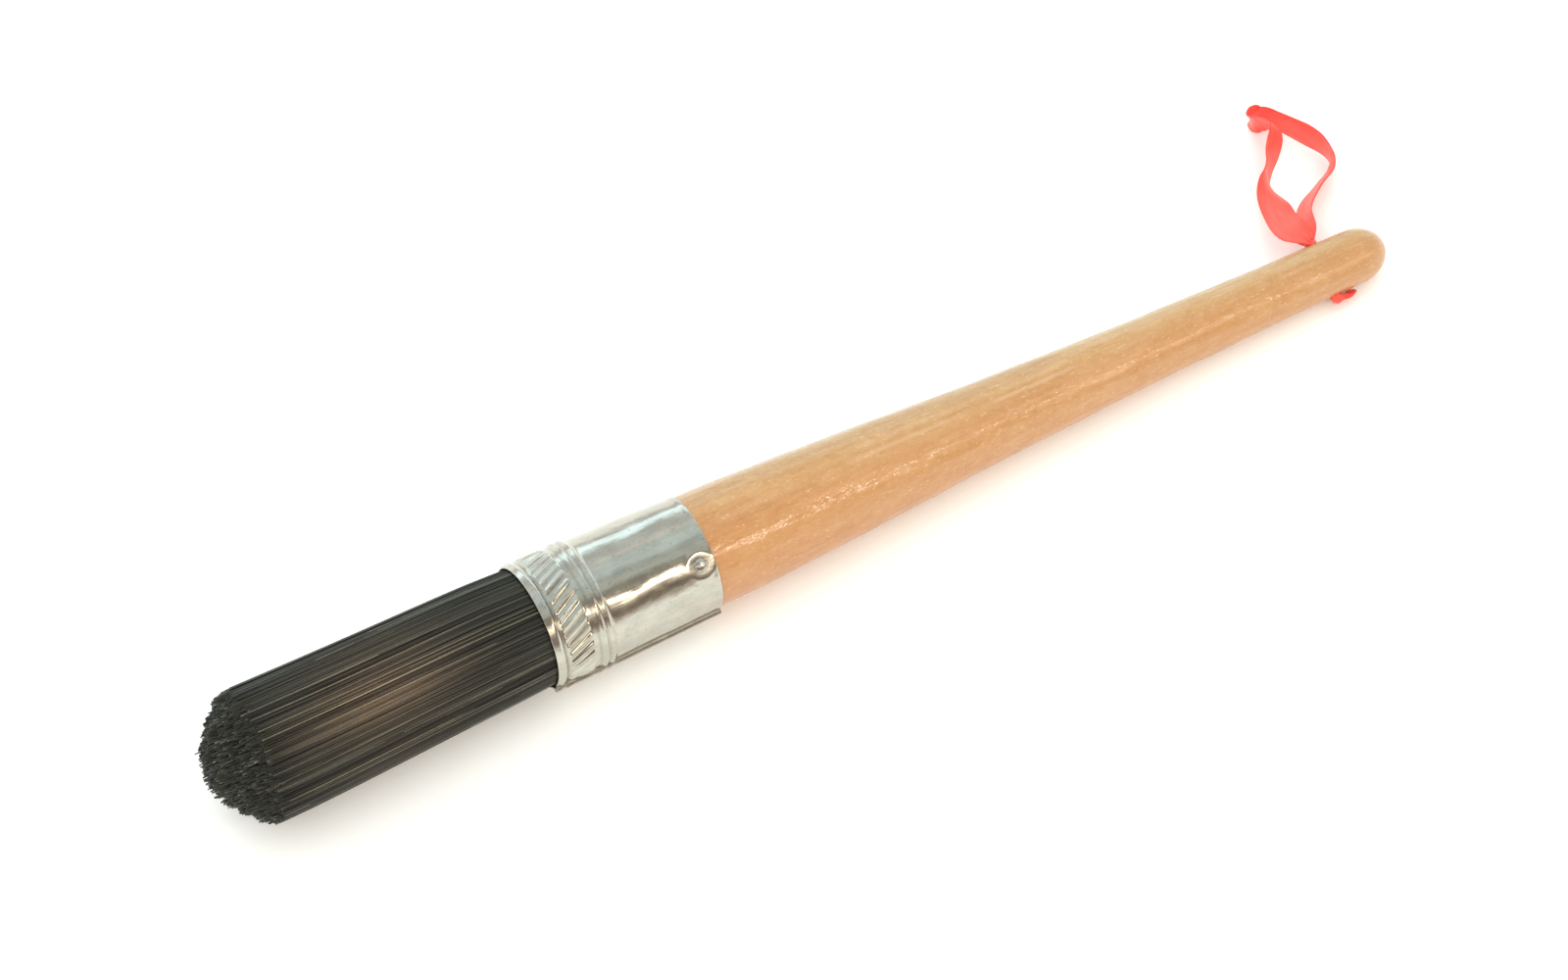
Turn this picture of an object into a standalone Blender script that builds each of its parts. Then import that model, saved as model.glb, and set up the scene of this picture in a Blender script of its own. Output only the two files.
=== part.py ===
"""Round detail brush: a turned wooden handle, a tinplate ferrule with a folded seam, a round bundle of stiff synthetic bristle set in resin,
and a ribbon hanging loop through a cross hole near the butt of the handle.

Frame: metres, +Z up. The brush lies on the plane Z = 0, on the ferrule's second bead and on the butt end of the handle, with the bristle tip
towards -X and the butt towards +X. The origin is the middle of the brush's box, on that plane.

Station s is measured in millimetres along the brush's own axis from the ferrule's rear edge, positive towards the butt. Turned pieces are drawn
with s as their local Z, under an empty that tips that axis into the resting attitude. Angle phi is measured round the axis: 0 points to +Y,
90 points up and 180 points to -Y."""

import math

import bmesh
import bpy
import numpy as np
from mathutils import Euler, Matrix, Vector

MM = 0.001
STEPS = 32  # facets round the turned pieces; half a step of turn puts a flat facet underneath

# ---- driving dimensions, millimetres ----
GAP = 0.3  # clearance kept between touching pieces

S_BUTT = 178.8  # flat centre of the handle's butt
BUTT_FLAT_R = 2.6
BUTT_ROUND_S = 171.5  # where the rounding of the butt begins
BUTT_R = 6.3
HANDLE_STATIONS = (  # (s, radius) down the taper, butt to ferrule
    (171.5, 6.30),
    (160.0, 6.48),
    (145.0, 6.70),
    (125.0, 7.28),
    (100.0, 8.15),
    (75.0, 9.30),
    (50.0, 10.75),
    (30.0, 11.90),
    (15.0, 12.62),
    (5.0, 12.92),
)
HANDLE_NECK_R = 12.98  # handle where it leaves the ferrule
TENON_R = 12.45  # handle inside the ferrule
TENON_S = -22.0

FERRULE_LEN = 41.0
FERRULE_WALL = 0.45
FERRULE_REAR_R = 13.40  # outer radius at the rear edge
FERRULE_MID_R = 14.10  # outer radius just behind the second bead
FERRULE_BAND_R = 14.20  # outer radius of the hatched band
BEAD_R = 14.75
RIM_BEAD_S = -39.7
BEAD_S = -28.3
SEAM_PHI = 212.0
SEAM_WIDTH = 2.4
SEAM_HEIGHT = 1.1

PIN_S = -3.4
PIN_PHI = 133.0
PIN_SHANK_R = 0.8
PIN_HEAD_R = 1.9
PIN_HEAD_H = 0.85
PIN_DEPTH = 7.0

RESIN_S = (-28.0, -22.4)
RESIN_R = 13.0

BEND_S = -38.0  # centre about which the free bristle bends, just inside the mouth
ROOT_BALL_R = 16.0  # domed front of the gripped bristle, round that centre
ROOT_R = 13.3
ROOT_NECK_R = 13.6
BRISTLE_STATIONS = (  # (s, radius) of the free bundle, mouth to trimmed edge
    (-52.0, 14.14),
    (-60.0, 14.32),
    (-70.0, 14.58),
    (-80.0, 14.86),
    (-90.0, 15.12),
    (-99.0, 15.34),
    (-107.0, 15.44),
)
BRISTLE_MOUTH_R = 14.06
TIP_S = -119.2  # crown of the domed trim
TIP_EDGE_S = -107.0
TIP_EDGE_R = 15.44

HOLE_S = 163.5
HOLE_PHI = 27.0
HOLE_R = 1.7
SHANK_R = 1.4

RIBBON_HALF_WIDTH = 3.1
RIBBON_HALF_THICK = 0.28
# Route of the hanging loop's centreline, out of the hole, round the loop and back: x, y, z in mm, lean in degrees
# (0 is a ribbon standing on its edge, 90 is one lying flat), and the share of full width, folded narrow at the hole.
LOOP_ROUTE = (
    (133.6, 5.9, 10.5, -78, 0.36),
    (132.9, 7.2, 11.5, -84, 0.68),
    (131.9, 9.0, 11.9, -96, 0.94),
    (131.3, 11.2, 11.1, -106, 1.00),
    (131.8, 14.4, 9.4, -108, 1.00),
    (133.2, 19.2, 7.1, -95, 1.00),
    (134.5, 23.6, 5.4, -69, 1.00),
    (136.2, 27.7, 4.3, -35, 1.00),
    (137.7, 30.2, 4.1, -13, 1.00),
    (139.6, 32.3, 4.3, -12, 1.00),
    (141.5, 34.2, 5.2, -21, 1.00),
    (143.2, 35.9, 6.6, -26, 1.00),
    (144.4, 37.3, 7.6, -27, 1.00),
    (145.0, 38.5, 8.1, -29, 1.00),
    (145.0, 39.7, 8.0, -31, 1.00),
    (144.5, 41.0, 7.4, -25, 1.00),
    (143.8, 42.2, 6.6, -19, 1.00),
    (143.1, 43.2, 5.8, -17, 1.00),
    (142.7, 44.3, 5.1, -17, 1.00),
    (143.1, 45.7, 4.5, -5, 1.00),
    (144.1, 46.7, 4.1, 7, 1.00),
    (145.3, 46.8, 3.8, 11, 1.00),
    (146.5, 46.1, 3.7, 7, 1.00),
    (147.6, 44.6, 3.7, 2, 1.00),
    (148.5, 42.9, 3.7, 0, 1.00),
    (150.7, 38.6, 3.8, -3, 1.00),
    (152.2, 35.6, 3.8, -6, 1.00),
    (153.3, 32.6, 3.9, -3, 1.00),
    (153.7, 29.9, 3.9, 3, 1.00),
    (153.4, 27.7, 3.9, 3, 1.00),
    (152.3, 25.9, 3.9, -9, 1.00),
    (150.1, 24.1, 3.9, -24, 1.00),
    (146.5, 22.3, 3.9, -26, 1.00),
    (143.1, 20.4, 4.0, -30, 1.00),
    (140.5, 18.2, 4.5, -29, 1.00),
    (138.2, 15.4, 5.5, -29, 1.00),
    (136.5, 12.4, 7.0, -32, 1.00),
    (135.1, 9.8, 8.3, -40, 0.94),
    (134.2, 7.9, 8.9, -48, 0.68),
    (133.9, 6.6, 8.9, -52, 0.36),
)
KNOT_S = 166.0
KNOT_PHI = 217.0
KNOT_HALF = (3.7, 2.0, 0.85)  # along the handle, round it, and out from it
KNOT_CENTRE_R = 7.3

# ---- resting attitude ----
FACET = math.cos(math.pi / STEPS)
PITCH = math.atan((BEAD_R - BUTT_R) * FACET / (BUTT_ROUND_S - BEAD_S))
AXIS_Z = BEAD_S * math.sin(PITCH) + BEAD_R * math.cos(PITCH) * FACET
AXIS_X = -(TIP_S + S_BUTT) / 2 * math.cos(PITCH)


def start_clean():
    for o in list(bpy.data.objects):
        bpy.data.objects.remove(o, do_unlink=True)


def new_collection(name):
    c = bpy.data.collections.new(name)
    bpy.context.scene.collection.children.link(c)
    return c


def move_to(obj, collection):
    for c in list(obj.users_collection):
        c.objects.unlink(obj)
    collection.objects.link(obj)


def material(name, colour, roughness, metallic=0.0):
    m = bpy.data.materials.new(name)
    m.use_nodes = True
    p = m.node_tree.nodes["Principled BSDF"]
    p.inputs["Base Color"].default_value = (*colour, 1.0)
    p.inputs["Roughness"].default_value = roughness
    p.inputs["Metallic"].default_value = metallic
    m.diffuse_color = (*colour, 1.0)
    return m


def smooth(obj, angle=35.0):
    obj.data.shade_smooth()
    obj.data.set_sharp_from_angle(angle=math.radians(angle))


def turned(name, profile, collection, mat, parent):
    """A solid turned about local Z from (radius, s) points that run down the outer side."""
    me = bpy.data.meshes.new(name)
    verts = [(r * MM, 0.0, s * MM) for r, s in profile]
    me.from_pydata(verts, [(i, i + 1) for i in range(len(verts) - 1)], [])
    o = bpy.data.objects.new(name, me)
    collection.objects.link(o)
    o.parent = parent
    o.rotation_euler = (0.0, 0.0, math.pi / STEPS)
    m = o.modifiers.new("Turn", "SCREW")
    m.axis = "Z"
    m.steps = m.render_steps = STEPS
    m.use_merge_vertices = True
    m.merge_threshold = 1e-5
    m.use_smooth_shade = True
    if mat is not None:
        me.materials.append(mat)
    return o


def cut(obj, cutter, operation="DIFFERENCE"):
    m = obj.modifiers.new(f"{operation.title()} {cutter.name}", "BOOLEAN")
    m.operation = operation
    m.solver = "EXACT"
    m.object = cutter
    return m


def as_cutter(obj, collection):
    move_to(obj, collection)
    obj.hide_render = True
    obj.display_type = "WIRE"
    return obj


def catmull(points, per_span):
    """Points on a smooth curve through the given ones."""
    p = np.asarray(points, float)
    q = np.vstack([2 * p[0] - p[1], p, 2 * p[-1] - p[-2]])
    out = []
    for i in range(1, len(q) - 2):
        a, b, c, d = q[i - 1], q[i], q[i + 1], q[i + 2]
        for k in range(per_span):
            t = k / per_span
            out.append(0.5 * (2 * b + (c - a) * t + (2 * a - 5 * b + 4 * c - d) * t * t + (3 * b - a - 3 * c + d) * t**3))
    out.append(q[-2])
    return np.array(out)


def radial(phi):
    """Unit vector out from the axis at angle phi, in the turned pieces' local frame, where local -X is up."""
    a = math.radians(phi)
    return Vector((-math.sin(a), math.cos(a), 0.0))


def outward_matrix(s, phi, r):
    """Local frame at station s and radius r whose Z points out from the axis and whose X runs along it."""
    z = radial(phi)
    x = Vector((0.0, 0.0, 1.0))
    y = z.cross(x)
    m = Matrix((x, y, z)).transposed().to_4x4()
    m.translation = (z * r + x * s) * MM
    return m


def rod(name, r, length, matrix, parent, vertices=20):
    """A closed cylinder along the local Z of the given frame, centred on it."""
    bpy.ops.mesh.primitive_cylinder_add(vertices=vertices, radius=r * MM, depth=length * MM)
    o = bpy.context.active_object
    o.name = o.data.name = name
    o.parent = parent
    o.matrix_basis = matrix
    return o


# ---- scene, collections, axis empties ----
start_clean()
brush = new_collection("detail_brush")
cutters = new_collection("cutters")

axis = bpy.data.objects.new("brush_axis", None)
axis.location = (AXIS_X * MM, 0.0, AXIS_Z * MM)
axis.rotation_euler = Euler((0.0, math.pi / 2 + PITCH, 0.0))
axis.empty_display_size = 0.02
brush.objects.link(axis)

bend = bpy.data.objects.new("bristle_bend_axis", None)  # the bundle bends about this empty's Y, level with the table
bend.parent = axis
bend.location = (0.0, 0.0, BEND_S * MM)
bend.empty_display_size = 0.02
brush.objects.link(bend)

swing = bpy.data.objects.new("loop_swing_axis", None)  # the hanging loop swings about world Z through the hole's mouth
brush.objects.link(swing)

wood = material("lacquered_birch", (0.62, 0.40, 0.20), 0.32)
tin = material("tinplate", (0.74, 0.76, 0.75), 0.22, 1.0)
steel = material("pin_steel", (0.62, 0.62, 0.60), 0.25, 1.0)
amber = material("setting_resin", (0.55, 0.38, 0.16), 0.35)
bristle = material("black_bristle", (0.045, 0.042, 0.038), 0.5)
satin = material("coral_satin", (0.90, 0.13, 0.10), 0.42)


def handle_radius(s):
    pts = sorted(HANDLE_STATIONS)
    return float(np.interp(s, [p[0] for p in pts], [p[1] for p in pts]))


# ---- handle ----
cap = S_BUTT - BUTT_ROUND_S
ellipse_a = cap / math.sqrt(1 - (BUTT_FLAT_R / BUTT_R) ** 2)
profile = [(0.0, S_BUTT), (BUTT_FLAT_R, S_BUTT)]
for k in range(1, 7):
    a = math.asin(cap / ellipse_a) * (1 - k / 7)
    profile.append((BUTT_R * math.cos(a), BUTT_ROUND_S + ellipse_a * math.sin(a)))
taper = catmull(HANDLE_STATIONS + ((0.0 + GAP, HANDLE_NECK_R),), 2)
profile += [(float(r), float(s)) for s, r in taper]
profile += [(TENON_R, GAP), (TENON_R, TENON_S + 1.2), (TENON_R - 0.9, TENON_S), (0.0, TENON_S)]
handle = turned("handle", profile, brush, wood, axis)

hole = as_cutter(rod("ribbon_hole_cutter", HOLE_R, 24.0, outward_matrix(HOLE_S, HOLE_PHI, 0.0), axis), cutters)
cut(handle, hole)


# ---- ferrule: an open turned sheet, thickened inwards, with the folded seam joined on ----
def bead(s0, half, height, base, count=4):
    """Points over one rounded bead, from its rear side to its front side."""
    return [
        (base + (height - base) * math.cos(math.radians(90 * (2 * k / count - 1))), s0 - half * math.sin(math.radians(90 * (2 * k / count - 1))))
        for k in range(count + 1)
    ]


sheet = [(FERRULE_REAR_R, 0.0), ((FERRULE_REAR_R + FERRULE_MID_R) / 2, -12.0), (FERRULE_MID_R, BEAD_S + 2.6)]
sheet += bead(BEAD_S, 1.9, BEAD_R, FERRULE_BAND_R - 0.03)
sheet += [(FERRULE_BAND_R, -34.0)]
sheet += bead(RIM_BEAD_S, 1.3, BEAD_R - 0.1, FERRULE_BAND_R, 4)
ferrule = turned("ferrule_shell", sheet, brush, tin, axis)
wall = ferrule.modifiers.new("Wall", "SOLIDIFY")
wall.thickness = FERRULE_WALL * MM
wall.offset = -1.0
wall.use_even_offset = True

bpy.ops.mesh.primitive_cube_add(size=1.0)
seam = bpy.context.active_object
seam.name = seam.data.name = "seam_fold"
rear_r, front_r = FERRULE_REAR_R - 0.12, FERRULE_BAND_R - 0.12
for v in seam.data.vertices:
    at_rear = v.co.x > 0
    base = rear_r if at_rear else front_r
    rise = SEAM_HEIGHT + 0.12 if not at_rear else SEAM_HEIGHT - 0.1
    top = v.co.z > 0
    v.co = (
        (0.0 if at_rear else -FERRULE_LEN) * MM,
        v.co.y * 2 * (SEAM_WIDTH / 2 * (0.72 if top else 1.0)) * MM,
        (base + (rise if top else 0.0)) * MM,
    )
round_off = seam.modifiers.new("Fold edge", "BEVEL")
round_off.width = 0.3 * MM
round_off.segments = 2
round_off.limit_method = "ANGLE"
seam.parent = axis
seam.matrix_basis = outward_matrix(0.0, SEAM_PHI, 0.0)
as_cutter(seam, cutters)
cut(ferrule, seam, "UNION")


# ---- nails through the ferrule into the handle ----
def pin_profile():
    pts = []
    for k in range(5):
        a = math.radians(90 * (1 - k / 4))
        pts.append((PIN_HEAD_R * math.cos(a), PIN_HEAD_H * math.sin(a) + 0.12))
    pts[0] = (0.0, PIN_HEAD_H + 0.12)
    return pts + [
        (PIN_HEAD_R, 0.0),
        (PIN_SHANK_R, 0.0),
        (PIN_SHANK_R, -PIN_DEPTH + 1.6),
        (0.0, -PIN_DEPTH),
    ]


pin_seat = FERRULE_REAR_R + (FERRULE_MID_R - FERRULE_REAR_R) * (-PIN_S / 25.0) + GAP
for label, phi in (("near", PIN_PHI), ("far", PIN_PHI + 180.0)):
    pin = turned(f"ferrule_pin_{label}", pin_profile(), brush, steel, axis)
    pin.modifiers["Turn"].steps = pin.modifiers["Turn"].render_steps = 20
    pin.matrix_basis = outward_matrix(PIN_S, phi, pin_seat)
    drill = as_cutter(
        rod(f"pin_hole_{label}_cutter", PIN_SHANK_R + GAP, PIN_DEPTH + 3.0, outward_matrix(PIN_S, phi, pin_seat - PIN_DEPTH / 2 + 1.0), axis, 16), cutters
    )
    cut(ferrule, drill)
    cut(handle, drill)

# ---- resin that sets the bristle ----
resin = turned(
    "bristle_set_resin",
    [(0.0, RESIN_S[1]), (RESIN_R - 0.4, RESIN_S[1]), (RESIN_R, RESIN_S[1] - 0.5), (RESIN_R, RESIN_S[0]), (0.0, RESIN_S[0])],
    brush,
    amber,
    axis,
)

# ---- gripped part of the bristle, with a domed front round the bending centre ----
edge = math.asin(ROOT_NECK_R / ROOT_BALL_R)
profile = [(0.0, RESIN_S[0] - GAP), (ROOT_R, RESIN_S[0] - GAP), (ROOT_R, -FERRULE_LEN - GAP), (ROOT_NECK_R, -FERRULE_LEN - GAP - 0.3)]
for k in range(7):
    a = edge * (1 - k / 7)
    profile.append((ROOT_BALL_R * math.sin(a), BEND_S - ROOT_BALL_R * math.cos(a)))
profile.append((0.0, BEND_S - ROOT_BALL_R))
root = turned("bristle_root", profile, brush, bristle, axis)

# ---- free bristle bundle: hollow base round the dome, slight flare, domed trim ----
cup = ROOT_BALL_R + GAP
edge = math.asin(BRISTLE_MOUTH_R / cup)
profile = [(0.0, BEND_S - cup)]
for k in range(1, 8):
    a = edge * k / 7
    profile.append((cup * math.sin(a), BEND_S - cup * math.cos(a)))
profile += [(r, s) for s, r in BRISTLE_STATIONS]
for k in range(1, 9):
    a = math.radians(90 * k / 9)
    profile.append((TIP_EDGE_R * math.cos(a), TIP_EDGE_S + (TIP_S - TIP_EDGE_S) * math.sin(a)))
profile.append((0.0, TIP_S))
profile = [(r, s - BEND_S) for r, s in profile]
bundle = turned("bristle_bundle", profile, brush, bristle, bend)


# ---- ribbon: the loop, the part folded in the hole, and the knot ----
def ribbon_curve():
    cu = bpy.data.curves.new("ribbon_loop_path", "CURVE")
    cu.dimensions = "3D"
    cu.twist_mode = "Z_UP"
    cu.use_fill_caps = True
    cu.extrude = (RIBBON_HALF_WIDTH - RIBBON_HALF_THICK) * MM
    cu.bevel_depth = RIBBON_HALF_THICK * MM
    cu.bevel_resolution = 1
    route = catmull(LOOP_ROUTE, 2)
    sp = cu.splines.new("POLY")
    sp.points.add(len(route) - 1)
    for point, (x, y, z, lean, share) in zip(sp.points, route, strict=True):
        point.co = (x * MM, y * MM, z * MM, 1.0)
        point.tilt = math.radians(lean)
        point.radius = min(1.0, float(share))
    return cu


along = Vector((math.cos(PITCH), 0.0, -math.sin(PITCH)))
up = Vector((math.sin(PITCH), 0.0, math.cos(PITCH)))
hole_out = Vector((0.0, 1.0, 0.0)) * math.cos(math.radians(HOLE_PHI)) + up * math.sin(math.radians(HOLE_PHI))
axis_origin = Vector((AXIS_X, 0.0, AXIS_Z))
swing.location = (axis_origin + along * HOLE_S + hole_out * (handle_radius(HOLE_S) + GAP)) * MM

curve_obj = bpy.data.objects.new("ribbon_loop_curve", ribbon_curve())
brush.objects.link(curve_obj)
bpy.context.view_layer.update()
loop_mesh = bpy.data.meshes.new_from_object(curve_obj.evaluated_get(bpy.context.evaluated_depsgraph_get()))
bm = bmesh.new()
bm.from_mesh(loop_mesh)
bmesh.ops.remove_doubles(bm, verts=bm.verts, dist=2e-6)
bmesh.ops.translate(bm, verts=bm.verts, vec=-swing.location)
bm.to_mesh(loop_mesh)
bm.free()
loop_mesh.name = "ribbon_loop"
loop_mesh.materials.clear()
loop_mesh.materials.append(satin)
loop = bpy.data.objects.new("ribbon_loop", loop_mesh)
brush.objects.link(loop)
loop.parent = swing
smooth(loop, 50.0)
bpy.data.objects.remove(curve_obj)

half = handle_radius(HOLE_S) - 0.1
shank = rod("ribbon_shank", SHANK_R, 2 * half, outward_matrix(HOLE_S, HOLE_PHI, 0.0), axis, 12)
move_to(shank, brush)
shank.data.materials.append(satin)
smooth(shank)

bpy.ops.mesh.primitive_uv_sphere_add(segments=20, ring_count=10, radius=1.0)
knot = bpy.context.active_object
knot.name = knot.data.name = "ribbon_knot"
for v in knot.data.vertices:
    v.co = (v.co.x * KNOT_HALF[0] * MM, v.co.y * KNOT_HALF[1] * MM, v.co.z * KNOT_HALF[2] * MM)
knot.parent = axis
knot.matrix_basis = outward_matrix(KNOT_S, KNOT_PHI, KNOT_CENTRE_R)
move_to(knot, brush)
knot.data.materials.append(satin)
clearance = as_cutter(
    rod("knot_clearance_cutter", handle_radius(HOLE_S) + GAP + 0.1, 24.0, Matrix.Translation((0.0, 0.0, KNOT_S * MM)), axis, 96), cutters
)
cut(knot, clearance)
smooth(knot)
bpy.context.view_layer.update()
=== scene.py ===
"""Looks for the round detail brush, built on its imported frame.

Lengths below are millimetres unless a name says otherwise, and are turned into metres as meshes are made. Station s runs along the brush's own
axis from the ferrule's rear edge, positive towards the butt, and phi goes round it: 0 is +Y, 90 is up, 180 is -Y."""

import math

import bmesh
import bpy
import numpy as np
from mathutils import Matrix, Vector


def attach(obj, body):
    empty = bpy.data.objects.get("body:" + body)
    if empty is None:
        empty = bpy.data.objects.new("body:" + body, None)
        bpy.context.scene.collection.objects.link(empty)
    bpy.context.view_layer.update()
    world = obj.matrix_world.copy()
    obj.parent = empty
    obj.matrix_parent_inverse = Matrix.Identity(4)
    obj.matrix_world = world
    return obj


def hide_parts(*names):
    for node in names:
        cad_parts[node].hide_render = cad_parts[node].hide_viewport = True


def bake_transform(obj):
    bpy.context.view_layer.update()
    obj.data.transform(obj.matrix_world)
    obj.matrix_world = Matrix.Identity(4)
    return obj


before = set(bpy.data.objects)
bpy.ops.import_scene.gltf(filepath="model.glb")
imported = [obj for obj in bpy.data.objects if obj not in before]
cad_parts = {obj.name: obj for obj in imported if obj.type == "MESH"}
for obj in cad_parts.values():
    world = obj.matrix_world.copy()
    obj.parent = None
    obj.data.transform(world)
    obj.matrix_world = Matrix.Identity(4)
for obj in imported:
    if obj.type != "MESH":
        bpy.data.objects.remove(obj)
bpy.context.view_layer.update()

MM = 0.001

# ---- dimensions shared with the CAD model ----
STEPS = 32
S_BUTT, BUTT_FLAT_R, BUTT_ROUND_S, BUTT_R = 178.8, 2.6, 171.5, 6.3
HANDLE_STATIONS = (
    (171.5, 6.30),
    (160.0, 6.48),
    (145.0, 6.70),
    (125.0, 7.28),
    (100.0, 8.15),
    (75.0, 9.30),
    (50.0, 10.75),
    (30.0, 11.90),
    (15.0, 12.62),
    (5.0, 12.92),
)
HANDLE_NECK_R, TENON_R, TENON_S = 12.98, 12.45, -22.0
FERRULE_LEN, FERRULE_WALL = 41.0, 0.45
FERRULE_REAR_R, FERRULE_MID_R, FERRULE_BAND_R, BEAD_R = 13.40, 14.10, 14.20, 14.75
RIM_BEAD_S, BEAD_S = -39.7, -28.3
SEAM_PHI, SEAM_WIDTH = 212.0, 2.4
SEAM_LOOK = 207.8  # the fold leans over towards the near side
PIN_S, PIN_PHI = -3.4, 133.0
BRISTLE_STATIONS = ((-52.0, 14.14), (-60.0, 14.32), (-70.0, 14.58), (-80.0, 14.86), (-90.0, 15.12), (-99.0, 15.34), (-107.0, 15.44))
TIP_S, TIP_EDGE_S, TIP_EDGE_R = -119.2, -107.0, 15.44
HOLE_S, HOLE_PHI, HOLE_R = 163.5, 27.0, 1.7
KNOT_S, KNOT_PHI, KNOT_CENTRE_R = 166.0, 217.0, 7.3
LOOP_ROUTE = (
    (133.6, 5.9, 10.5, -78, 0.36),
    (132.9, 7.2, 11.5, -84, 0.68),
    (131.9, 9.0, 11.9, -96, 0.94),
    (131.3, 11.2, 11.1, -106, 1.00),
    (131.8, 14.4, 9.4, -108, 1.00),
    (133.2, 19.2, 7.1, -95, 1.00),
    (134.5, 23.6, 5.4, -69, 1.00),
    (136.2, 27.7, 4.3, -35, 1.00),
    (137.7, 30.2, 4.1, -13, 1.00),
    (139.6, 32.3, 4.3, -12, 1.00),
    (141.5, 34.2, 5.2, -21, 1.00),
    (143.2, 35.9, 6.6, -26, 1.00),
    (144.4, 37.3, 7.6, -27, 1.00),
    (145.0, 38.5, 8.1, -29, 1.00),
    (145.0, 39.7, 8.0, -31, 1.00),
    (144.5, 41.0, 7.4, -25, 1.00),
    (143.8, 42.2, 6.6, -19, 1.00),
    (143.1, 43.2, 5.8, -17, 1.00),
    (142.7, 44.3, 5.1, -17, 1.00),
    (143.1, 45.7, 4.5, -5, 1.00),
    (144.1, 46.7, 4.1, 7, 1.00),
    (145.3, 46.8, 3.8, 11, 1.00),
    (146.5, 46.1, 3.7, 7, 1.00),
    (147.6, 44.6, 3.7, 2, 1.00),
    (148.5, 42.9, 3.7, 0, 1.00),
    (150.7, 38.6, 3.8, -3, 1.00),
    (152.2, 35.6, 3.8, -6, 1.00),
    (153.3, 32.6, 3.9, -3, 1.00),
    (153.7, 29.9, 3.9, 3, 1.00),
    (153.4, 27.7, 3.9, 3, 1.00),
    (152.3, 25.9, 3.9, -9, 1.00),
    (150.1, 24.1, 3.9, -24, 1.00),
    (146.5, 22.3, 3.9, -26, 1.00),
    (143.1, 20.4, 4.0, -30, 1.00),
    (140.5, 18.2, 4.5, -29, 1.00),
    (138.2, 15.4, 5.5, -29, 1.00),
    (136.5, 12.4, 7.0, -32, 1.00),
    (135.1, 9.8, 8.3, -40, 0.94),
    (134.2, 7.9, 8.9, -48, 0.68),
    (133.9, 6.6, 8.9, -52, 0.36),
)
FACET = math.cos(math.pi / STEPS)
PITCH = math.atan((BEAD_R - BUTT_R) * FACET / (BUTT_ROUND_S - BEAD_S))
AXIS_Z = BEAD_S * math.sin(PITCH) + BEAD_R * math.cos(PITCH) * FACET
AXIS_X = -(TIP_S + S_BUTT) / 2 * math.cos(PITCH)

ALONG = np.array((math.cos(PITCH), 0.0, -math.sin(PITCH)))
SIDE = np.array((0.0, 1.0, 0.0))
UP = np.array((math.sin(PITCH), 0.0, math.cos(PITCH)))
ORIGIN = np.array((AXIS_X, 0.0, AXIS_Z))
AXIS_FRAME = Matrix([[*row, 0.0] for row in np.column_stack((ALONG, SIDE, UP))] + [[0.0, 0.0, 0.0, 1.0]])
AXIS_FRAME.translation = Vector(ORIGIN) * MM


def out_dir(phi):
    """Unit vectors out from the axis at phi degrees, in the row frame."""
    a = np.radians(np.asarray(phi, float))[..., None]
    return np.cos(a) * SIDE + np.sin(a) * UP


def place(s, r, phi):
    """Points in the row frame, millimetres."""
    s, r, phi = np.broadcast_arrays(np.asarray(s, float), np.asarray(r, float), np.asarray(phi, float))
    return ORIGIN + s[..., None] * ALONG + r[..., None] * out_dir(phi)


def catmull(points, per_span):
    p = np.asarray(points, float)
    q = np.vstack([2 * p[0] - p[1], p, 2 * p[-1] - p[-2]])
    out = []
    for i in range(1, len(q) - 2):
        a, b, c, d = q[i - 1], q[i], q[i + 1], q[i + 2]
        for k in range(per_span):
            t = k / per_span
            out.append(0.5 * (2 * b + (c - a) * t + (2 * a - 5 * b + 4 * c - d) * t * t + (3 * b - a - 3 * c + d) * t**3))
    out.append(q[-2])
    return np.array(out)


def srgb(r, g, b):
    return tuple((c / 255 / 12.92) if c <= 10 else (((c / 255) + 0.055) / 1.055) ** 2.4 for c in (r, g, b))


def smoothstep(x):
    x = np.clip(x, 0.0, 1.0)
    return x * x * (3 - 2 * x)


# ---- meshes ----
def mesh_object(name, verts, faces, mats, smooth=True, face_mats=None):
    me = bpy.data.meshes.new(name)
    me.from_pydata([tuple(v) for v in np.asarray(verts, float)], [], [tuple(int(i) for i in f) for f in faces])
    if smooth:
        me.polygons.foreach_set("use_smooth", np.ones(len(me.polygons), bool))
    for m in mats:
        me.materials.append(m)
    if face_mats is not None:
        me.polygons.foreach_set("material_index", np.asarray(face_mats, np.int32))
    me.update()
    o = bpy.data.objects.new(name, me)
    bpy.context.scene.collection.objects.link(o)
    return o


def attribute(obj, name, values):
    a = obj.data.attributes.new(name, "FLOAT", "POINT")
    a.data.foreach_set("value", np.asarray(values, np.float32))


def settle(obj):
    """Puts a piece made in the brush's own axes into the row frame, and keeps its own coordinates for its material."""
    n = len(obj.data.vertices)
    own = np.empty(n * 3, np.float32)
    obj.data.vertices.foreach_get("co", own)
    a = obj.data.attributes.new("own_xyz", "FLOAT_VECTOR", "POINT")
    a.data.foreach_set("vector", own)
    obj.data.transform(obj.matrix_world)
    obj.matrix_world = Matrix.Identity(4)


def ring_grid(rows, cols, close_rows=False):
    """Faces over rows x cols points, closed round each row."""
    i = np.arange(rows if close_rows else rows - 1)[:, None]
    j = np.arange(cols)[None, :]
    a = i * cols + j
    b = i * cols + (j + 1) % cols
    c = ((i + 1) % rows) * cols + (j + 1) % cols
    d = ((i + 1) % rows) * cols + j
    return np.stack([a, b, c, d], -1).reshape(-1, 4)


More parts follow.
